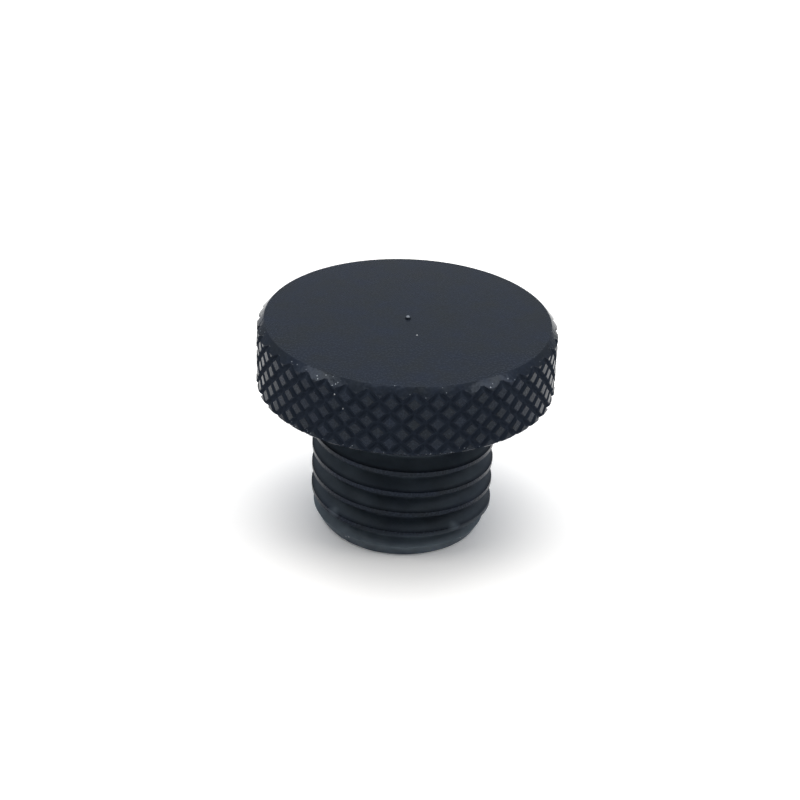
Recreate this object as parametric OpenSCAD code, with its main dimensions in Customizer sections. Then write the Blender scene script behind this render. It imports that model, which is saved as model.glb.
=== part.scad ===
// Knurled thumb screw, turned from one bar of aluminium.
// It stands on the flat end of its thread, +Z up, sizes in mm.
// The origin is the centre of that flat end.

/* [Head] */
// Diameter over the knurl
head_d = 16.2; // [14:0.1:22]
// Height of the knurled head
head_h = 3.85; // [3.2:0.05:7]
// Width of the chamfer round the top face
top_chamfer_w = 0.4; // [0.25:0.05:0.8]
// Height of the chamfer round the top face
top_chamfer_h = 0.45; // [0.3:0.05:0.8]
// Width and height of the edge break under the head
low_chamfer = 0.15; // [0.05:0.05:0.3]

/* [Knurl] */
// Grooves running each way round the head
groove_n = 42; // [32:1:54]
// Height of one diamond, from groove crossing to groove crossing
diamond_h = 1.15; // [0.95:0.05:1.5]
// Depth of the V grooves
groove_depth = 0.2; // [0.1:0.02:0.3]
// Share of each diamond that the grooves take
groove_share = 0.48; // [0.3:0.02:0.7]
// Height of one row of diamonds over the underside of the head
row_rise = 1.85; // [1.5:0.05:2.2]

/* [Thread] */
// Outside diameter of the thread
thread_d = 10; // [9:0.1:12]
// Length from the flat end to the underside of the head
thread_len = 8.3; // [6:0.1:16]
// Diameter of the flat end
end_d = 8.7; // [7:0.1:8.9]
// Length of the taper that leads into the thread
end_taper = 1.15; // [0.5:0.05:2]

/* [Turning pip] */
// Diameter of the pip left at the centre of the top face
pip_d = 0.32; // [0.2:0.02:0.8]
// Height of that pip
pip_h = 0.18; // [0.1:0.02:0.3]

/* [Hidden] */
head_r = head_d / 2;
thread_r = thread_d / 2;
total_h = thread_len + head_h;
groove_r = head_r - groove_depth;
// The turned blank stands proud of the knurl by one groove depth
blank_r = head_r + groove_depth;
blank_low_z = thread_len + low_chamfer + groove_depth;
blank_high_z = total_h - top_chamfer_h * (1 + groove_depth / top_chamfer_w);
// Half the angle and half the height of one diamond
half_a = 180 / groove_n;
half_h = diamond_h / 2;
flat_part = 1 - groove_share;
// Rows of diamonds, counted from the one at row_rise, past both ends of the head
low_row = -floor(row_rise / half_h + 0.2) - 1;
high_row = floor((head_h - row_rise) / half_h + 0.2) + 1;
rows = [low_row : high_row];
ring = [0 : groove_n - 1];
double_ring = [0 : 2 * groove_n - 1];
sleeve_r = blank_r + 1;
$fn = 96;

// Every second row sits half a diamond further round
function odd(m) = abs(m % 2);
function row_z(m) = thread_len + row_rise + m * half_h;
function polar(r, a, z) = [r * cos(a), r * sin(a), z];

// Groove crossings lie between the diamonds of each row, and in one row more at each end
cross_points = [
    for (m = [low_row - 1 : high_row + 1], i = ring)
        polar(groove_r, (2 * i - 1 + odd(m)) * half_a, row_z(m))
];
function cross_id(i, m) = (m - low_row + 1) * groove_n + i % groove_n;

// The flat on each diamond has a low, a right, a high and a left corner
flat_points = [
    for (m = rows, i = ring, k = [0 : 3])
        polar(
            head_r,
            (2 * i + odd(m) + flat_part * sin(90 * k)) * half_a,
            row_z(m) - flat_part * cos(90 * k) * half_h
        )
];
function flat_id(i, m, k) =
    len(cross_points) + 4 * ((m - low_row) * groove_n + i) + k % 4;

// The four crossings round a diamond, in the order of its corners
function around(i, m) = [
    cross_id(i + odd(m), m - 1),
    cross_id(i + 1, m),
    cross_id(i + odd(m), m + 1),
    cross_id(i, m)
];

// The sleeve ends in a zigzag of crossings from row m and the row q beyond it
function edge_row(k, m, q) = (k + odd(m)) % 2 == 1 ? m : q;
function edge_at(k, r) = cross_id((k + 1 - odd(r)) / 2, r);
function edge_id(k, m, q) = edge_at(k, edge_row(k, m, q));
function low_id(k) = edge_id(k, low_row, low_row - 1);
function high_id(k) = edge_id(k, high_row, high_row + 1);
low_rim = [
    for (k = double_ring)
        polar(sleeve_r, k * half_a, row_z(edge_row(k, low_row, low_row - 1)))
];
high_rim = [
    for (k = double_ring)
        polar(sleeve_r, k * half_a, row_z(edge_row(k, high_row, high_row + 1)))
];
rim_start = len(cross_points) + len(flat_points);
function low_rim_id(k) = rim_start + k % (2 * groove_n);
function high_rim_id(k) = low_rim_id(k) + 2 * groove_n;

// Flats, then the groove walls that fall away from their four sides
flat_faces = [
    for (m = rows, i = ring, k = [1, 2])
        [flat_id(i, m, 0), flat_id(i, m, k), flat_id(i, m, k + 1)]
];
wall_faces = [
    for (m = rows, i = ring, k = [0 : 3], half = [0, 1])
        let (c = around(i, m), c0 = c[k], c1 = c[(k + 1) % 4])
        let (f0 = flat_id(i, m, k), f1 = flat_id(i, m, k + 1))
        half == 0 ? [c0, c1, f1] : [c0, f1, f0]
];
// Ends and outside of the sleeve
sleeve_faces = [
    for (k = double_ring)
        let (a = low_id(k), b = low_id(k + 1))
        let (c = high_id(k), d = high_id(k + 1))
        let (p = low_rim_id(k), q = low_rim_id(k + 1))
        let (s = high_rim_id(k), t = high_rim_id(k + 1))
        each [[a, p, q], [a, q, b], [c, d, t], [c, t, s], [p, s, t], [p, t, q]]
];

// Sleeve whose inside is the finished knurl
module knurl_sleeve() {
    polyhedron(
        points = concat(cross_points, flat_points, low_rim, high_rim),
        faces = concat(flat_faces, wall_faces, sleeve_faces),
        convexity = 10
    );
}

// Turned blank: tapered end, thread at its outside diameter, head and pip
module blank() {
    rotate_extrude()
        polygon([
            [0, 0],
            [end_d / 2, 0],
            [thread_r, end_taper],
            [thread_r, thread_len],
            [head_r - low_chamfer, thread_len],
            [blank_r, blank_low_z],
            [blank_r, blank_high_z],
            [head_r - top_chamfer_w, total_h],
            [pip_d / 2, total_h],
            [pip_d / 4, total_h + pip_h],
            [0, total_h + pip_h]
        ]);
}

module thumb_screw() {
    color("#34373c")
        difference() {
            blank();
            knurl_sleeve();
        }
}

thumb_screw();
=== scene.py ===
"""Knurled thumb screw in black anodised aluminium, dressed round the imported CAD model.

The screw is one turned piece. It is drawn in millimetres, in the CAD frame, and
brought to metres at the end: a knurled bar and a threaded bar are grown by
Geometry Nodes, then each is cut to its turned outline and the two are joined.
"""
import math

import bmesh
import bpy
from mathutils import Matrix, Vector


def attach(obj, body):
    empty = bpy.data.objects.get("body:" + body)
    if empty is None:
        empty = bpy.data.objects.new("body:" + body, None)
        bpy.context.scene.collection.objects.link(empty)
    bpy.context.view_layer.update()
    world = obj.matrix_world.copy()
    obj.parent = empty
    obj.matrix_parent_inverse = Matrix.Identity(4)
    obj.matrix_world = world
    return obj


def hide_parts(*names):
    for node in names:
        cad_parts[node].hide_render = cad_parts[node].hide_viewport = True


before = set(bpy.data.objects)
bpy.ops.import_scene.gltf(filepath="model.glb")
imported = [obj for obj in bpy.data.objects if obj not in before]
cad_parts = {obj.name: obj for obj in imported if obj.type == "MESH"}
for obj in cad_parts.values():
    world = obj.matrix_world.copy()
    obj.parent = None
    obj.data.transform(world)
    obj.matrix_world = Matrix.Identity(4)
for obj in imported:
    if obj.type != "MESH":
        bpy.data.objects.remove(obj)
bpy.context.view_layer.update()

scene = bpy.context.scene
MM = 0.001

# Head, in mm
HEAD_R = 8.1
SEAT_Z = 8.3
TOP_Z = 12.15
FACE_R = 7.7            # top face, inside its chamfer
CHAMFER_LOW_Z = 11.7    # where the chamfer meets the knurl's outside
LOW_BREAK = 0.15        # edge break under the head
EDGE_ROUND = 0.04       # small radius on both edges of the head and on the tip's edge
HEAD_STEPS = 360        # faces round the head's outline
CHAMFER_SLOPE = (TOP_Z - CHAMFER_LOW_Z) / (HEAD_R - FACE_R)
CHAMFER_CONE = FACE_R * CHAMFER_SLOPE + TOP_Z   # slope times radius, plus height, on the chamfer
BREAK_CONE = SEAT_Z - HEAD_R + LOW_BREAK        # height less radius, on the edge break

# Knurl, in mm
DIAMONDS = 42           # diamonds in one row
ROWS = 9                # an odd number, so that the middle row is row 0
ROW_Z = 10.15           # height of the middle row
HALF_HEIGHT = 0.575     # from one row to the next
GROOVE_DEPTH = 0.2
# Widths at the top of the groove's rounded bottom, its wall and its shoulder, in diamonds
ROOT_WIDTH = 0.84
WALL_WIDTH = 0.55
FLAT_WIDTH = 0.53
# A flat's unevenness: the share that lifts it whole, and the most that it all adds up to
LIFT_SHARE = 0.5
MOST_LIFT = 1.02

# Thread, M10 x 1.25 left-hand, in mm
THREAD_R = 5.0
PITCH = 1.25
CREST_Z = 5.43          # height of one crest at the front
TURNS_UNDER = 6         # turns that the thread starts below that crest
END_R = 4.35
END_TAPER = 1.15
SHANK_STEPS = 192       # faces round the shank's outline
PAST_THREAD = 0.3       # the outline's wall stands this far off the thread
INTO_HEAD = 0.2         # the shank runs this far on into the head

# Turning pip on the top face, in mm, and its outline in shares of its radius and height
PIP_R = 0.16
PIP_H = 0.18
PIP_OUTLINE = ((1.0, 0.0), (0.82, 0.45), (0.62, 0.74), (0.35, 0.93), (0.0, 1.0))

# Making of the mesh: gaps in mm that are closed, and the sharpest angles that stay smooth
GROWN_WELD = 0.002
JOINED_WELD = 0.0005
SLIVER = 0.0002
ARC_STEPS = 3
THREAD_CREASE = math.radians(40)
HEAD_CREASE = math.radians(14)

# Pale motes on the top face and the foot, two painted glints on the knurl, and two painted
# highlights on the thread, in mm
MOTES_AND_GLINTS = ((0.53, -1.93, TOP_Z), (-3.493, -7.091, 11.175), (-3.035, -7.306, 10.479),
         (-2.852, -3.704, 0.576), (-2.692, -3.884, 0.666), (3.397, -3.113, 0.456))
# Two painted highlights on the thread
THREAD_HIGHLIGHTS = ((-3.504, -3.352, 2.046), (2.966, -3.848, 1.75))

# Colours of the finish
WARM_DYE = "#262a2c"
COLD_DYE = "#222a39"
GROOVE_DYE = "#272e39"
# Pale grey painted on as fill light in the thread, as a glow round the foot, and as highlights on
# the thread
PAINTED_LIGHT_GREY = "#87949e"
# Bare metal of the worn specks, also painted on the pip's crown as a highlight
BARE_METAL_AND_HIGHLIGHT = "#7b8189"
# White of the motes and of the painted glints
SPOT_WHITE = "#d0d3d6"

# Sizes in the finish, in mm
GRAIN = 0.12            # really about 0.03, drawn so coarse that it shows
DYE_PATCH = 1.3
# Patches of the painted pale grey
LIGHT_PATCH = 1.6
SPECK_CELL = 0.16       # holds one speck at most
NICK = 0.3
WHITE_SPOT_R = 0.04
PAST_EDGE = 0.03        # a finish runs this far past the edge that ends it
PAST_ROOT = 0.05        # and this far past the bottom of a groove
UNDER_SEAT = 0.01       # the shank's finish ends this far under the head

# Where each part of the finish begins and is full, and what share of it there is
GRAIN_SPAN = {"From Min": 0.3, "From Max": 0.7}
PATCH_SPAN = {"From Min": 0.35, "From Max": 0.65}
GRAIN_TONE = {"To Min": 0.8, "To Max": 1.2}
PATCH_TONE = {"To Min": 0.65, "To Max": 1.05}
BELOW_FLATS = {"From Min": (HEAD_R - 0.045) * MM, "From Max": (HEAD_R - 0.065) * MM}
# Painted fill light in the thread, lifting its shade, and a glow painted round the foot
BELOW_CREST = {"From Min": (THREAD_R - 0.03) * MM, "From Max": (THREAD_R - 0.2) * MM,
               "To Max": 0.29}
# The painted fill grows toward the head, to lift the shade the head casts on the thread
FILL_TOWARD_HEAD = {"From Min": 2.0 * MM, "From Max": 6.0 * MM, "To Min": 0.6}
AT_FOOT = {"From Min": 1.7 * MM, "From Max": 1.0 * MM, "To Max": 0.5}
AT_RIM = {"From Min": 0.8 * MM, "From Max": 0.1 * MM, "To Max": 0.65}
HIGHLIGHT_FADE = {"From Min": 0.5 * MM, "From Max": 0.05 * MM, "To Max": 0.34}
MATT_WHERE_PAINTED = {"From Max": 0.3}
LOW_EDGE = {"From Min": (SEAT_Z + 0.35) * MM, "From Max": (SEAT_Z + 0.1) * MM,
            "To Min": 0.02, "To Max": 0.6}
ON_CHAMFER = {"From Min": (CHAMFER_CONE - 0.25) * MM, "From Max": (CHAMFER_CONE - 0.05) * MM}
CHAMFER_SPECKS = 0.25   # share of the cells with a speck
SPECK_R = 0.2           # in cells
PIP_HIGHLIGHT_FROM = 0.6             # above this share of its height the pip's crown is painted in the bare tone, as its highlight

# Roughness, relief and shine of the finish
SATIN = {"To Min": 0.23, "To Max": 0.3}
FINE_CUT = 0.18
ROUGH_WHERE_PAINTED = 0.65
MATT = 1.0
NICK_RELIEF = {"Strength": 0.5, "Distance": 0.03 * MM}
GRAIN_RELIEF = {"Strength": 0.1, "Distance": 0.02 * MM}
METAL = 0.3
SKIN_SHINE = 0.08

# The photograph's camera: the direction it looks from, and what it aims at
CAMERA_TURN = math.radians(0.651)
CAMERA_RISE = math.radians(28.416)
CAMERA_ROLL = math.radians(2.329)
CAMERA_AWAY = 109.419
CAMERA_AIM = Vector((-0.251, 0.0, 7.185))
CAMERA_LENS = 90.12

# Studio: the floor in metres, the card's white, and the room's light by height and from the front
FLOOR_R = 3.0
FLOOR_STEPS = 96
CARD_LIT = "#dcdcdc"
CARD_SEEN = (1.12, 1.12, 1.12, 1.0)     # over 1, so that the card shows white under these lamps
ROOM_LIGHT = "#f0f6ff"
LAMP_LIGHT = "#fffaf2"
BY_HEIGHT = {"From Min": 0.2, "From Max": 0.8, "To Min": 0.38, "To Max": 1.0}
FROM_FRONT = {"From Min": 0.0, "From Max": 0.8, "To Min": 1.0, "To Max": 0.36}
FRONT = (0.0, -0.94, 0.34)


def linear(hex_colour):
    """An sRGB hex colour as linear RGBA."""
    parts = [int(hex_colour[i:i + 2], 16) / 255 for i in (1, 3, 5)]
    return [c / 12.92 if c <= 0.04045 else ((c + 0.055) / 1.055) ** 2.4
            for c in parts] + [1.0]


def add(tree, kind, inputs=None, **settings):
    """Add a node with its settings, link or set its inputs, and return its outputs."""
    node = tree.nodes.new(kind)
    for name, value in settings.items():
        setattr(node, name, value)
    for key, value in (inputs or {}).items():
        if isinstance(value, bpy.types.NodeSocket):
            tree.links.new(value, node.inputs[key])
        else:
            node.inputs[key].default_value = value
    return node.outputs


# Finish

def black_anodised_aluminium():
    """Turned aluminium, etched to a satin and dyed black under a clear oxide skin.

    The eye sees a cool near-black with a soft broad sheen and fine grain. The cut
    grooves of the knurl are matt, and bare metal shows as tiny bright specks along the
    handled edges. Pale grey is painted into the thread as fill light and round the foot as
    a glow, with painted highlights on the thread and the pip's crown, and painted glints on the
    knurl.
    """
    material = bpy.data.materials.new("black_anodised_aluminium_satin")
    material.use_nodes = True
    tree = material.node_tree
    shader = tree.nodes["Principled BSDF"]
    place = add(tree, "ShaderNodeTexCoord")["Object"]
    spot = add(tree, "ShaderNodeSeparateXYZ", {0: place})
    level_spot = add(tree, "ShaderNodeCombineXYZ", {0: spot["X"], 1: spot["Y"]})
    reach = add(tree, "ShaderNodeVectorMath", {0: level_spot[0]}, operation="LENGTH")["Value"]

    # Etched grain, and a dye that takes a little unevenly
    grain = add(tree, "ShaderNodeTexNoise", {
        "Vector": place, "Scale": 1 / (GRAIN * MM), "Detail": 3.0, "Roughness": 0.6})[0]
    dye = add(tree, "ShaderNodeTexNoise", {
        "Vector": place, "Scale": 1 / (DYE_PATCH * MM), "Detail": 2.0})[0]
    colour = add(tree, "ShaderNodeMix", {
        0: dye, 6: linear(WARM_DYE), 7: linear(COLD_DYE)}, data_type="RGBA")[2]
    tone = add(tree, "ShaderNodeMapRange", {"Value": grain, **GRAIN_SPAN, **GRAIN_TONE})[0]
    colour = add(tree, "ShaderNodeHueSaturation", {"Value": tone, "Color": colour})[0]

    # Knurl grooves: below the flats, outside their bottoms, and between the chamfer's cone
    # and the edge break under the head
    below_flats = add(tree, "ShaderNodeMapRange", {"Value": reach, **BELOW_FLATS})[0]
    outside = add(tree, "ShaderNodeMath", {
        0: reach, 1: (HEAD_R - GROOVE_DEPTH - PAST_ROOT) * MM}, operation="GREATER_THAN")[0]
    cone = add(tree, "ShaderNodeMath", {
        0: reach, 1: CHAMFER_SLOPE, 2: spot["Z"]}, operation="MULTIPLY_ADD")[0]
    under_cone = add(tree, "ShaderNodeMath", {
        0: cone, 1: (CHAMFER_CONE - PAST_EDGE) * MM}, operation="LESS_THAN")[0]
    break_cone = add(tree, "ShaderNodeMath", {0: spot["Z"], 1: reach}, operation="SUBTRACT")[0]
    over_break = add(tree, "ShaderNodeMath", {
        0: break_cone, 1: (BREAK_CONE + PAST_EDGE) * MM}, operation="GREATER_THAN")[0]
    groove = below_flats
    for limit in (outside, under_cone, over_break):
        groove = add(tree, "ShaderNodeMath", {0: groove, 1: limit}, operation="MULTIPLY")[0]
    colour = add(tree, "ShaderNodeMix", {
        0: groove, 6: colour, 7: linear(GROOVE_DYE)}, data_type="RGBA")[2]

    # Painted light in pale grey, all in patches: fill light in the thread below its crest,
    # a glow round the foot and its rim, and two painted highlights on the thread
    thread_fill = add(tree, "ShaderNodeMapRange", {"Value": reach, **BELOW_CREST})[0]
    # Painted fill light, stronger toward the head where its shade falls
    toward_head = add(tree, "ShaderNodeMapRange", {"Value": spot["Z"], **FILL_TOWARD_HEAD})[0]
    thread_fill = add(tree, "ShaderNodeMath", {0: thread_fill, 1: toward_head}, operation="MULTIPLY")[0]
    # A glow painted round the foot and its rim, lifting the shade there
    at_foot = add(tree, "ShaderNodeMapRange", {"Value": spot["Z"], **AT_FOOT})[0]
    at_rim = add(tree, "ShaderNodeMapRange", {"Value": spot["Z"], **AT_RIM})[0]
    at_foot = add(tree, "ShaderNodeMath", {0: at_foot, 1: at_rim}, operation="MAXIMUM")[0]
    on_shank = add(tree, "ShaderNodeMath", {
        0: spot["Z"], 1: (SEAT_Z - UNDER_SEAT) * MM}, operation="LESS_THAN")[0]
    patches = add(tree, "ShaderNodeTexNoise", {
        "Vector": place, "Scale": 1 / (LIGHT_PATCH * MM), "Detail": 2.0})[0]
    patches = add(tree, "ShaderNodeMapRange", {"Value": patches, **PATCH_SPAN, **PATCH_TONE})[0]
    painted_light = add(tree, "ShaderNodeMath", {0: thread_fill, 1: at_foot}, operation="MAXIMUM")[0]
    for limit in (on_shank, patches):
        painted_light = add(tree, "ShaderNodeMath", {0: painted_light, 1: limit}, operation="MULTIPLY")[0]
    # Two painted highlights on the thread, in the pale grey
    for highlight_spot in THREAD_HIGHLIGHTS:
        gap = add(tree, "ShaderNodeVectorMath", {
            0: place, 1: Vector(highlight_spot) * MM}, operation="DISTANCE")["Value"]
        painted_highlight = add(tree, "ShaderNodeMapRange", {"Value": gap, **HIGHLIGHT_FADE})[0]
        painted_light = add(tree, "ShaderNodeMath", {0: painted_light, 1: painted_highlight}, operation="MAXIMUM")[0]
    colour = add(tree, "ShaderNodeMix", {
        0: painted_light, 6: colour, 7: linear(PAINTED_LIGHT_GREY)}, data_type="RGBA")[2]

    # Specks of bare metal: many along the edges of the head, few on the knurl; and a painted
    # highlight on the crown of the pip, in the same bare tone
    specks = add(tree, "ShaderNodeTexVoronoi", {
        "Vector": place, "Scale": 1 / (SPECK_CELL * MM)})
    at_edge = add(tree, "ShaderNodeMath", {
        0: reach, 1: (FACE_R - PAST_EDGE) * MM}, operation="GREATER_THAN")[0]
    low_edge = add(tree, "ShaderNodeMapRange", {"Value": spot["Z"], **LOW_EDGE})[0]
    low_edge = add(tree, "ShaderNodeMath", {0: low_edge, 1: at_edge}, operation="MULTIPLY")[0]
    on_chamfer = add(tree, "ShaderNodeMapRange", {"Value": cone, **ON_CHAMFER})[0]
    on_chamfer = add(tree, "ShaderNodeMath", {0: on_chamfer, 1: at_edge}, operation="MULTIPLY")[0]
    high_edge = add(tree, "ShaderNodeMath", {
        0: on_chamfer, 1: CHAMFER_SPECKS}, operation="MULTIPLY")[0]
    worn = add(tree, "ShaderNodeMath", {0: low_edge, 1: high_edge}, operation="MAXIMUM")[0]
    chosen = add(tree, "ShaderNodeMath", {0: specks["Color"], 1: worn}, operation="LESS_THAN")[0]
    close = add(tree, "ShaderNodeMath", {
        0: specks["Distance"], 1: SPECK_R}, operation="LESS_THAN")[0]
    bare_and_highlight = add(tree, "ShaderNodeMath", {0: chosen, 1: close}, operation="MULTIPLY")[0]
    # Painted highlight on the pip's crown
    pip_highlight = add(tree, "ShaderNodeMath", {
        0: spot["Z"], 1: (TOP_Z + PIP_HIGHLIGHT_FROM * PIP_H) * MM}, operation="GREATER_THAN")[0]
    bare_and_highlight = add(tree, "ShaderNodeMath", {0: bare_and_highlight, 1: pip_highlight}, operation="MAXIMUM")[0]
    colour = add(tree, "ShaderNodeMix", {
        0: bare_and_highlight, 6: colour, 7: linear(BARE_METAL_AND_HIGHLIGHT)}, data_type="RGBA")[2]
    # Pale motes on the top face and the foot; the two on the knurl are painted glints
    for white_spot in MOTES_AND_GLINTS:
        gap = add(tree, "ShaderNodeVectorMath", {
            0: place, 1: Vector(white_spot) * MM}, operation="DISTANCE")["Value"]
        whitened = add(tree, "ShaderNodeMath", {0: gap, 1: WHITE_SPOT_R * MM}, operation="LESS_THAN")[0]
        colour = add(tree, "ShaderNodeMix", {
            0: whitened, 6: colour, 7: linear(SPOT_WHITE)}, data_type="RGBA")[2]

    # Satin all over. The chamfer was cut last, with a finer tool; the painted pale grey and the
    # cut grooves are matt
    rough = add(tree, "ShaderNodeMapRange", {"Value": grain, **GRAIN_SPAN, **SATIN})[0]
    matt_where_painted = add(tree, "ShaderNodeMapRange", {"Value": painted_light, **MATT_WHERE_PAINTED})[0]
    for part, roughness in ((on_chamfer, FINE_CUT), (matt_where_painted, ROUGH_WHERE_PAINTED), (groove, MATT)):
        rough = add(tree, "ShaderNodeMix", {
            0: part, 2: rough, 3: roughness}, data_type="FLOAT")[0]
    # The grooves took up the dye more deeply, and no metal shows through
    metal = add(tree, "ShaderNodeMix", {0: groove, 2: METAL, 3: 0.0}, data_type="FLOAT")[0]

    # The chamfer was cut across the raised knurl, which left it nicked
    nicks = add(tree, "ShaderNodeTexNoise", {
        "Vector": place, "Scale": 1 / (NICK * MM), "Detail": 2.0})[0]
    nicks = add(tree, "ShaderNodeMath", {0: nicks, 1: on_chamfer}, operation="MULTIPLY")[0]
    relief = add(tree, "ShaderNodeBump", {"Height": nicks, **NICK_RELIEF})[0]
    relief = add(tree, "ShaderNodeBump", {"Height": grain, "Normal": relief, **GRAIN_RELIEF})[0]

    tree.links.new(colour, shader.inputs["Base Color"])
    tree.links.new(rough, shader.inputs["Roughness"])
    tree.links.new(metal, shader.inputs["Metallic"])
    tree.links.new(relief, shader.inputs["Normal"])
    shader.inputs["Specular IOR Level"].default_value = SKIN_SHINE
    return material


# Grown shapes

def start_tree(name, sizes):
    """A Geometry Nodes tree with one named input for each size."""
    tree = bpy.data.node_groups.new(name, "GeometryNodeTree")
    for label, value in sizes.items():
        kind = {int: "NodeSocketInt", float: "NodeSocketFloat"}.get(
            type(value), "NodeSocketMaterial")
        tree.interface.new_socket(label, in_out="INPUT", socket_type=kind)
    tree.interface.new_socket("Geometry", in_out="OUTPUT",
                              socket_type="NodeSocketGeometry")
    return tree, add(tree, "NodeGroupInput")


def close_ends(tree, size, shape, middle):
    """Weld a tube-like sheet, close both its ends to the axis, and end the tree."""
    welded = add(tree, "GeometryNodeMergeByDistance", {
        "Geometry": shape, "Distance": size["Weld"]})
    neighbours = add(tree, "GeometryNodeInputMeshEdgeNeighbors")
    open_edge = add(tree, "FunctionNodeCompare", {2: neighbours[0], 3: 1},
                    data_type="INT", operation="EQUAL")
    ends = add(tree, "GeometryNodeExtrudeMesh", {
        "Mesh": welded[0], "Selection": open_edge[0], "Offset Scale": 0.0}, mode="EDGES")
    spot = add(tree, "ShaderNodeSeparateXYZ", {0: add(tree, "GeometryNodeInputPosition")[0]})
    upper = add(tree, "FunctionNodeCompare", {0: spot["Z"], 1: middle},
                data_type="FLOAT", operation="GREATER_THAN")
    tip_z = add(tree, "GeometryNodeSwitch", {
        0: upper[0], 1: size["Low end"], 2: size["High end"]}, input_type="FLOAT")
    tip = add(tree, "ShaderNodeCombineXYZ", {"Z": tip_z[0]})
    closed = add(tree, "GeometryNodeSetPosition", {
        "Geometry": ends["Mesh"], "Selection": ends["Top"], "Position": tip[0]})
    solid = add(tree, "GeometryNodeMergeByDistance", {
        "Geometry": closed[0], "Distance": size["Weld"]})
    plain = add(tree, "GeometryNodeRealizeInstances", {"Geometry": solid[0]})
    dressed = add(tree, "GeometryNodeSetMaterial", {
        "Geometry": plain[0], "Material": size["Finish"]})
    add(tree, "NodeGroupOutput", {0: dressed[0]})


def round_the_axis(tree, radius, angle, height):
    """A position from a radius, an angle and a height."""
    east = add(tree, "ShaderNodeMath", {
        0: radius, 1: add(tree, "ShaderNodeMath", {0: angle}, operation="COSINE")[0]},
        operation="MULTIPLY")
    north = add(tree, "ShaderNodeMath", {
        0: radius, 1: add(tree, "ShaderNodeMath", {0: angle}, operation="SINE")[0]},
        operation="MULTIPLY")
    return add(tree, "ShaderNodeCombineXYZ", {0: east[0], 1: north[0], 2: height})[0]


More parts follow.
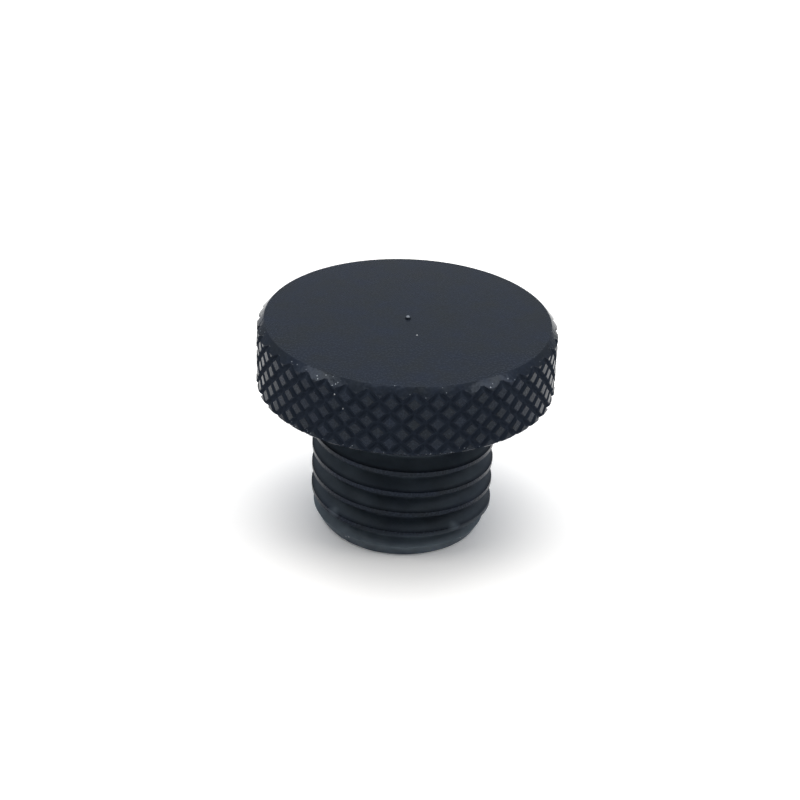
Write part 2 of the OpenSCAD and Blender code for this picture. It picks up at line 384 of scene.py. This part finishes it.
def knurl_tree(sizes):
    """A bar with a diamond knurl: one diamond, repeated on a lattice, wrapped on a cylinder.

    On the lattice a diamond reaches one unit each way from its middle, so the
    diamonds of one row are two units apart and every second row is shifted by one.
    """
    tree, size = start_tree("diamond_knurl", sizes)
    # One diamond: from the groove's bottom up its wall and over its shoulder to the flat
    cell = add(tree, "GeometryNodeMeshCircle", {
        "Vertices": 4, "Radius": 1.0}, fill_type="NGON")[0]
    floor_z = add(tree, "ShaderNodeMath", {0: size["Groove depth"], 1: -1.0},
                  operation="MULTIPLY")[0]
    cell = add(tree, "GeometryNodeSetPosition", {
        "Geometry": cell, "Offset": add(tree, "ShaderNodeCombineXYZ", {2: floor_z})[0]})[0]
    top = True
    for step in ("Root", "Wall", "Shoulder"):
        rise = add(tree, "ShaderNodeCombineXYZ", {
            2: add(tree, "ShaderNodeMath", {
                0: size["Groove depth"], 1: size[step + " rise"]},
                operation="MULTIPLY")[0]})
        risen = add(tree, "GeometryNodeExtrudeMesh", {
            "Mesh": cell, "Selection": top, "Offset": rise[0], "Offset Scale": 1.0},
            mode="FACES")
        top = risen["Top"]
        cell = add(tree, "GeometryNodeScaleElements", {
            "Geometry": risen["Mesh"], "Selection": top,
            "Scale": size[step + " narrowing"]})[0]
    cell = add(tree, "GeometryNodeSubdivideMesh", {"Mesh": cell, "Level": 1})[0]
    cell = add(tree, "GeometryNodeStoreNamedAttribute", {
        "Geometry": cell, "Name": "in_diamond",
        "Value": add(tree, "GeometryNodeInputPosition")[0]},
        data_type="FLOAT_VECTOR", domain="POINT")[0]
    # The lattice of their middles
    across = add(tree, "ShaderNodeMath", {0: size["Diamonds"], 1: 2.0, 2: -2.0},
                 operation="MULTIPLY_ADD")
    up = add(tree, "ShaderNodeMath", {0: size["Rows"], 1: 1.0}, operation="SUBTRACT")
    lattice = add(tree, "GeometryNodeMeshGrid", {
        "Size X": across[0], "Size Y": up[0],
        "Vertices X": size["Diamonds"], "Vertices Y": size["Rows"]})[0]
    spot = add(tree, "ShaderNodeSeparateXYZ", {0: add(tree, "GeometryNodeInputPosition")[0]})
    row = add(tree, "ShaderNodeMath", {0: spot["Y"]}, operation="ROUND")
    shift = add(tree, "ShaderNodeMath", {
        0: add(tree, "ShaderNodeMath", {0: row[0], 1: 2.0}, operation="FLOORED_MODULO")[0],
        1: 1.0}, operation="ADD")
    lattice = add(tree, "GeometryNodeSetPosition", {
        "Geometry": lattice,
        "Offset": add(tree, "ShaderNodeCombineXYZ", {0: shift[0]})[0]})[0]
    chance = add(tree, "FunctionNodeRandomValue", {
        0: (-1.0, -1.0, -1.0), 1: (1.0, 1.0, 1.0), "Seed": size["Seed"]},
        data_type="FLOAT_VECTOR")
    lattice = add(tree, "GeometryNodeStoreNamedAttribute", {
        "Geometry": lattice, "Name": "lean", "Value": chance[0]},
        data_type="FLOAT_VECTOR", domain="POINT")[0]
    placed = add(tree, "GeometryNodeInstanceOnPoints", {
        "Points": lattice, "Instance": cell})[0]
    sheet = add(tree, "GeometryNodeRealizeInstances", {"Geometry": placed})[0]
    # Each flat leans, sinks and drifts a little its own way, and never stands proud of the bar
    lean = add(tree, "GeometryNodeInputNamedAttribute", {"Name": "lean"},
               data_type="FLOAT_VECTOR")[0]
    inside = add(tree, "GeometryNodeInputNamedAttribute", {"Name": "in_diamond"},
                 data_type="FLOAT_VECTOR")[0]
    within = add(tree, "ShaderNodeSeparateXYZ", {0: inside})
    arm = add(tree, "ShaderNodeCombineXYZ", {0: within[0], 1: within[1], 2: LIFT_SHARE})
    lift = add(tree, "ShaderNodeVectorMath", {0: lean, 1: arm[0]},
               operation="DOT_PRODUCT")["Value"]
    lift = add(tree, "ShaderNodeMath", {0: lift, 1: MOST_LIFT}, operation="SUBTRACT")
    share = add(tree, "ShaderNodeMapRange", {
        "Value": within[2], "From Min": floor_z, "From Max": 0.0})
    lift = add(tree, "ShaderNodeMath", {0: lift[0], 1: share[0]}, operation="MULTIPLY")
    lift = add(tree, "ShaderNodeMath", {0: lift[0], 1: size["Unevenness"], 2: within[2]},
               operation="MULTIPLY_ADD")
    radius = add(tree, "ShaderNodeMath", {0: lift[0], 1: size["Radius"]}, operation="ADD")
    drift = add(tree, "ShaderNodeMath", {0: share[0], 1: size["Drift"]}, operation="MULTIPLY")
    drift = add(tree, "ShaderNodeVectorMath", {0: lean, "Scale": drift[0]}, operation="SCALE")
    spot = add(tree, "ShaderNodeVectorMath", {
        0: add(tree, "GeometryNodeInputPosition")[0], 1: drift[0]})
    spot = add(tree, "ShaderNodeSeparateXYZ", {0: spot[0]})
    half_turn = add(tree, "ShaderNodeMath", {0: math.pi, 1: size["Diamonds"]},
                    operation="DIVIDE")
    angle = add(tree, "ShaderNodeMath", {0: spot["X"], 1: half_turn[0]},
                operation="MULTIPLY")
    height = add(tree, "ShaderNodeMath", {
        0: spot["Y"], 1: size["Half height"], 2: size["Middle row"]},
        operation="MULTIPLY_ADD")
    wrapped = add(tree, "GeometryNodeSetPosition", {
        "Geometry": sheet,
        "Position": round_the_axis(tree, radius[0], angle[0], height[0])})[0]
    for name in ("in_diamond", "lean"):
        wrapped = add(tree, "GeometryNodeRemoveAttribute", {
            "Geometry": wrapped, "Name": name})[0]
    close_ends(tree, size, wrapped, size["Middle row"])
    return tree


def thread_tree(sizes):
    """A left-hand threaded bar: one strip as wide as the pitch, wound up the axis."""
    tree, size = start_tree("left_hand_thread", sizes)
    columns = add(tree, "ShaderNodeMath", {
        0: size["Turns"], 1: size["Steps a turn"], 2: 1.0}, operation="MULTIPLY_ADD")
    strip = add(tree, "GeometryNodeMeshGrid", {
        "Size X": 1.0, "Size Y": 1.0,
        "Vertices X": columns[0], "Vertices Y": size["Points over a pitch"]})[0]
    strip = add(tree, "GeometryNodeFlipFaces", {"Mesh": strip})[0]
    spot = add(tree, "ShaderNodeSeparateXYZ", {0: add(tree, "GeometryNodeInputPosition")[0]})
    along = add(tree, "ShaderNodeMath", {0: spot["X"], 1: 0.5}, operation="ADD")
    turns = add(tree, "ShaderNodeMath", {0: along[0], 1: size["Turns"]},
                operation="MULTIPLY")
    angle = add(tree, "ShaderNodeMath", {
        0: turns[0], 1: -2 * math.pi, 2: size["First angle"]}, operation="MULTIPLY_ADD")
    pitches = add(tree, "ShaderNodeMath", {0: turns[0], 1: spot["Y"]}, operation="ADD")
    height = add(tree, "ShaderNodeMath", {
        0: pitches[0], 1: size["Pitch"], 2: size["First height"]},
        operation="MULTIPLY_ADD")
    # Depth below the crest: flat crest, straight flanks, flat root, with eased corners
    off = add(tree, "ShaderNodeMath", {
        0: add(tree, "ShaderNodeMath", {0: spot["Y"]}, operation="ABSOLUTE")[0],
        1: size["Pitch"]}, operation="MULTIPLY")
    off = add(tree, "ShaderNodeMath", {0: off[0], 1: size["Half crest"]},
              operation="SUBTRACT")
    fall = add(tree, "ShaderNodeMath", {0: off[0], 1: size["Flank slope"]},
               operation="MULTIPLY")
    fall = add(tree, "ShaderNodeMath", {0: fall[0], 1: 0.0, 2: size["Crest easing"]},
               operation="SMOOTH_MAX")
    fall = add(tree, "ShaderNodeMath", {
        0: fall[0], 1: size["Depth"], 2: size["Root easing"]}, operation="SMOOTH_MIN")
    radius = add(tree, "ShaderNodeMath", {0: size["Radius"], 1: fall[0]},
                 operation="SUBTRACT")
    wound = add(tree, "GeometryNodeSetPosition", {
        "Geometry": strip,
        "Position": round_the_axis(tree, radius[0], angle[0], height[0])})[0]
    close_ends(tree, size, wound, size["Middle"])
    return tree


def grow(make_tree, sizes, name):
    """Run a tree on an empty object and keep what it makes as a plain mesh."""
    tree = make_tree(sizes)
    grown = bpy.data.objects.new(name, bpy.data.meshes.new(name))
    scene.collection.objects.link(grown)
    modifier = grown.modifiers.new(tree.name, "NODES")
    modifier.node_group = tree
    for item in tree.interface.items_tree:
        if item.in_out == "INPUT":
            modifier[item.identifier] = sizes[item.name]
    ready = grown.evaluated_get(bpy.context.evaluated_depsgraph_get())
    mesh = bpy.data.meshes.new_from_object(ready)
    grown.modifiers.remove(modifier)
    grown.data = mesh
    return grown


# Turned shapes

def rounded(profile, radius, corners):
    """The profile with the given corners drawn as small arcs."""
    points = []
    for i, here in enumerate(profile):
        if i not in corners:
            points.append(here)
            continue
        here = Vector(here)
        back = (Vector(profile[i - 1]) - here).normalized()
        on = (Vector(profile[i + 1]) - here).normalized()
        half = back.angle(on) / 2
        start = here + back * radius / math.tan(half)
        end = here + on * radius / math.tan(half)
        centre = here + (back + on).normalized() * radius / math.sin(half)
        for k in range(ARC_STEPS + 1):
            spoke = (start - centre).lerp(end - centre, k / ARC_STEPS).normalized()
            points.append(tuple(centre + spoke * radius))
    return points


def turned(name, profile, steps, finish):
    """A closed solid turned about Z from (radius, height) points, first and last on the axis."""
    made = bmesh.new()
    rings = []
    for radius, height in profile:
        if radius == 0:
            rings.append([made.verts.new((0, 0, height))] * steps)
        else:
            rings.append([made.verts.new((
                radius * math.cos(2 * math.pi * k / steps),
                radius * math.sin(2 * math.pi * k / steps), height)) for k in range(steps)])
    for low, high in zip(rings, rings[1:]):
        for k in range(steps):
            corners = [low[k - 1], low[k], high[k], high[k - 1]]
            made.faces.new(dict.fromkeys(corners))
    bmesh.ops.recalc_face_normals(made, faces=made.faces)
    mesh = bpy.data.meshes.new(name)
    made.to_mesh(mesh)
    made.free()
    mesh.materials.append(finish)
    solid = bpy.data.objects.new(name, mesh)
    scene.collection.objects.link(solid)
    return solid


def combine(kept, other, operation):
    """Intersect or join two closed solids into the first one's mesh."""
    modifier = kept.modifiers.new(operation.lower(), "BOOLEAN")
    modifier.operation = operation
    modifier.solver = "EXACT"
    modifier.object = other
    ready = kept.evaluated_get(bpy.context.evaluated_depsgraph_get())
    mesh = bpy.data.meshes.new_from_object(ready)
    kept.modifiers.remove(modifier)
    kept.data = mesh
    bpy.data.objects.remove(other)
    return kept


# The screw

finish = black_anodised_aluminium()

knurled = grow(knurl_tree, {
    "Radius": HEAD_R,
    "Diamonds": DIAMONDS,
    "Rows": ROWS,
    "Middle row": ROW_Z,
    "Half height": HALF_HEIGHT,
    "Groove depth": GROOVE_DEPTH,
    "Root rise": 0.06, "Root narrowing": ROOT_WIDTH,
    "Wall rise": 0.91, "Wall narrowing": WALL_WIDTH / ROOT_WIDTH,
    "Shoulder rise": 0.03, "Shoulder narrowing": FLAT_WIDTH / WALL_WIDTH,
    "Unevenness": 0.026,
    "Drift": 0.05,
    "Seed": 7,
    "Low end": 7.85, "High end": 12.45,
    "Weld": GROWN_WELD,
    "Finish": finish,
}, "head")

# The chamfer's cone runs on past the knurl, so that it also cuts the grooves
blank_r = HEAD_R + GROOVE_DEPTH
head_outline = [
    (0.0, SEAT_Z),
    (HEAD_R - LOW_BREAK, SEAT_Z),
    (blank_r, SEAT_Z + LOW_BREAK + GROOVE_DEPTH),
    (blank_r, TOP_Z - CHAMFER_SLOPE * (blank_r - FACE_R)),
    (FACE_R, TOP_Z),
]
head_outline += [(across * PIP_R, TOP_Z + up * PIP_H) for across, up in PIP_OUTLINE]
head_outline = rounded(head_outline, EDGE_ROUND, corners=(1, 4))
head_blank = turned("head_outline", head_outline, HEAD_STEPS, finish)
screw = combine(knurled, head_blank, "INTERSECT")

threaded = grow(thread_tree, {
    "Radius": THREAD_R,
    "Pitch": PITCH,
    "Turns": 10,
    "Steps a turn": 96,
    "Points over a pitch": 33,
    "First angle": CAMERA_TURN - math.pi / 2,
    "First height": CREST_Z - TURNS_UNDER * PITCH,
    "Half crest": 3 * PITCH / 32,
    "Flank slope": math.sqrt(3),
    "Crest easing": 0.004,
    "Depth": 0.82,
    "Root easing": 0.12,
    "Middle": 4.0,
    "Low end": -2.0, "High end": 10.5,
    "Weld": GROWN_WELD,
    "Finish": finish,
}, "shank")

# The tip's cone runs on past the thread, so that it also cuts the crests
taper = (THREAD_R - END_R) / END_TAPER
over_r = THREAD_R + PAST_THREAD
shank_outline = rounded([
    (0.0, 0.0),
    (END_R, 0.0),
    (over_r, (over_r - END_R) / taper),
    (over_r, SEAT_Z + INTO_HEAD),
    (0.0, SEAT_Z + INTO_HEAD),
], EDGE_ROUND, corners=(1,))
shank_blank = turned("shank_outline", shank_outline, SHANK_STEPS, finish)
shank = combine(threaded, shank_blank, "INTERSECT")
screw = combine(screw, shank, "UNION")
screw.name = screw.data.name = "thumb_screw_turned"

# One clean closed skin, smooth on the turned faces and the thread, crisp on the knurl
skin = bmesh.new()
skin.from_mesh(screw.data)
# Joining lists the points in another order each run, and the weld goes by that order
order = {v: i for i, v in enumerate(sorted(skin.verts, key=lambda v: v.co[:]))}
skin.verts.sort(key=order.get)
for parts in (skin.edges, skin.faces):
    ranked = sorted(parts, key=lambda part: sorted(order[v] for v in part.verts))
    ranks = {part: i for i, part in enumerate(ranked)}
    parts.sort(key=ranks.get)
bmesh.ops.remove_doubles(skin, verts=skin.verts, dist=JOINED_WELD)
bmesh.ops.dissolve_degenerate(skin, edges=skin.edges, dist=SLIVER)
# A point between only two faces lies on a straight edge and shapes nothing
spare = [v for v in skin.verts if len(v.link_edges) == 2]
bmesh.ops.dissolve_verts(skin, verts=spare)
bmesh.ops.recalc_face_normals(skin, faces=skin.faces)
for face in skin.faces:
    face.smooth = True
    face.material_index = 0
for edge in skin.edges:
    on_thread = max(v.co.z for v in edge.verts) < SEAT_Z - UNDER_SEAT
    edge.smooth = edge.calc_face_angle(0.0) < (THREAD_CREASE if on_thread else HEAD_CREASE)
skin.to_mesh(screw.data)
skin.free()
screw.data.materials.clear()
screw.data.materials.append(finish)
screw.data.transform(Matrix.Scale(MM, 4))

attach(screw, "root")
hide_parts("thumb_screw")


# Studio

def pale_floor():
    """Matt white card: even, without gloss, so that it only takes the screw's shadow."""
    material = bpy.data.materials.new("matt_white_card")
    material.use_nodes = True
    tree = material.node_tree
    shader = tree.nodes["Principled BSDF"]
    shader.inputs["Roughness"].default_value = 1.0
    shader.inputs["Specular IOR Level"].default_value = 0.0
    # To the eye, and in the metal, the lit card is pure white; it throws back less light
    path = add(tree, "ShaderNodeLightPath")
    seen = add(tree, "ShaderNodeMath", {
        0: path["Is Camera Ray"], 1: path["Is Glossy Ray"]}, operation="MAXIMUM")
    seen = add(tree, "ShaderNodeMath", {
        0: seen[0], 1: path["Is Transmission Ray"]}, operation="MAXIMUM")
    card = add(tree, "ShaderNodeMix", {
        0: seen[0], 6: linear(CARD_LIT), 7: CARD_SEEN}, data_type="RGBA")
    tree.links.new(card[2], shader.inputs["Base Color"])
    made = bmesh.new()
    bmesh.ops.create_circle(made, cap_ends=True, segments=FLOOR_STEPS, radius=FLOOR_R)
    mesh = bpy.data.meshes.new("floor")
    made.to_mesh(mesh)
    made.free()
    mesh.materials.append(material)
    floor = bpy.data.objects.new("floor", mesh)
    scene.collection.objects.link(floor)
    return floor


pale_floor()

# Soft light from all round, strongest overhead and fainter from the front
world = bpy.data.worlds.new("soft_room")
scene.world = world
world.use_nodes = True
room = world.node_tree
direction = add(room, "ShaderNodeTexCoord")["Generated"]
rise = add(room, "ShaderNodeSeparateXYZ", {0: direction})["Z"]
level = add(room, "ShaderNodeMapRange", {"Value": rise, **BY_HEIGHT},
            interpolation_type="SMOOTHSTEP")
front = add(room, "ShaderNodeVectorMath", {0: direction, 1: FRONT},
            operation="DOT_PRODUCT")["Value"]
shade = add(room, "ShaderNodeMapRange", {"Value": front, **FROM_FRONT},
            interpolation_type="SMOOTHSTEP")
level = add(room, "ShaderNodeMath", {0: level[0], 1: shade[0]}, operation="MULTIPLY")
room.links.new(level[0], room.nodes["Background"].inputs["Strength"])
room.nodes["Background"].inputs["Color"].default_value = linear(ROOM_LIGHT)


def soft_lamp(name, turn, rise, away, width, height, radiance):
    """A rectangular soft lamp that faces the screw, its turn counted from the camera's side.

    The angles are in degrees and the lengths in metres.
    """
    lamp = bpy.data.lights.new(name, "AREA")
    lamp.shape = "RECTANGLE"
    lamp.size = width
    lamp.size_y = height
    lamp.energy = radiance * math.pi * width * height
    lamp.color = linear(LAMP_LIGHT)[:3]
    angle = CAMERA_TURN - math.pi / 2 + math.radians(turn)
    rise = math.radians(rise)
    stand = bpy.data.objects.new(name, lamp)
    stand.location = away * Vector((
        math.cos(angle) * math.cos(rise), math.sin(angle) * math.cos(rise), math.sin(rise)))
    stand.rotation_mode = "QUATERNION"
    stand.rotation_quaternion = (-stand.location).to_track_quat("-Z", "Y")
    scene.collection.objects.link(stand)


soft_lamp("left_lamp", turn=-75, rise=43, away=0.6, width=0.28, height=0.13, radiance=4.8)
soft_lamp("right_lamp", turn=75, rise=43, away=0.6, width=0.28, height=0.13, radiance=4.8)
soft_lamp("top_lamp", turn=0, rise=90, away=0.6, width=0.6, height=0.6, radiance=2.5)

# Camera

camera = bpy.data.cameras.new("camera")
camera.lens = CAMERA_LENS
camera.sensor_width = 36.0
camera.clip_start = 0.01
towards = Vector((0.0, math.cos(CAMERA_RISE), -math.sin(CAMERA_RISE)))
right = Vector((1.0, 0.0, 0.0))
up = right.cross(towards)
across = right * math.cos(CAMERA_ROLL) + up * math.sin(CAMERA_ROLL)
upward = up * math.cos(CAMERA_ROLL) - right * math.sin(CAMERA_ROLL)
stand = Matrix((across, upward, -towards)).transposed().to_4x4()
stand.translation = (CAMERA_AIM - towards * CAMERA_AWAY) * MM
viewer = bpy.data.objects.new("camera", camera)
viewer.matrix_world = Matrix.Rotation(CAMERA_TURN, 4, "Z") @ stand
scene.collection.objects.link(viewer)
scene.camera = viewer

scene.view_settings.view_transform = "Standard"
